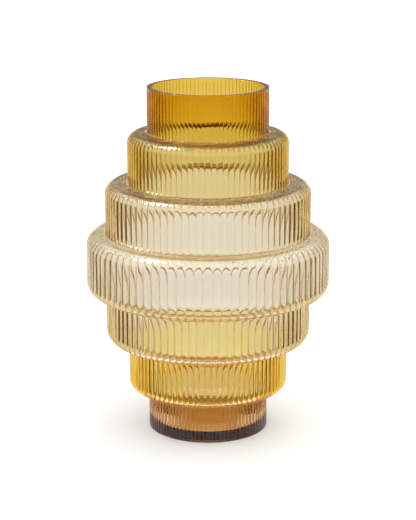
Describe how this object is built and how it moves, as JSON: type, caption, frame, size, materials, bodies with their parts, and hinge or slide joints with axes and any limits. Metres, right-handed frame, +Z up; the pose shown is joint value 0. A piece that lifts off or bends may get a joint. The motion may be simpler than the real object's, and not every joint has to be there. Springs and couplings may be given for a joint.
{
  "type": "ribbed stepped glass vase",
  "caption": "Free-standing hollow vase of ribbed amber glass in stepped round tiers, widest at the belly, with an open neck and a solid base.",
  "frame": {"origin": "on the axis of the vase, in the plane that it stands on", "axes": "+Z up along the axis, out of the mouth; +X and +Y are alike, because the vase is round, and +X runs through a groove between two ribs"},
  "size_m": [0.24, 0.24, 0.3435],
  "materials": {
    "neck_glass": "clear deep amber glass, ribbed outside, with a cut and polished lip",
    "upper_glass": "clear honey amber glass, ribbed outside, fire polished",
    "shoulder_glass": "clear pale straw glass, ribbed outside, fire polished",
    "belly_glass": "clear glass with a faint champagne tint, ribbed outside, fire polished",
    "waist_glass": "clear light amber glass, ribbed outside, fire polished",
    "lower_glass": "clear golden amber glass, ribbed outside, fire polished",
    "foot_glass": "clear brown amber glass, ribbed outside, fire polished",
    "base_glass": "thick clear brown amber glass, ground flat underneath"
  },
  "bodies": {
    "root": {"neck_tier": "neck_glass", "upper_tier": "upper_glass", "shoulder_tier": "shoulder_glass", "belly_tier": "belly_glass", "waist_tier": "waist_glass", "lower_tier": "lower_glass", "foot_tier": "foot_glass", "base_disc": "base_glass"}
  },
  "joints": []
}
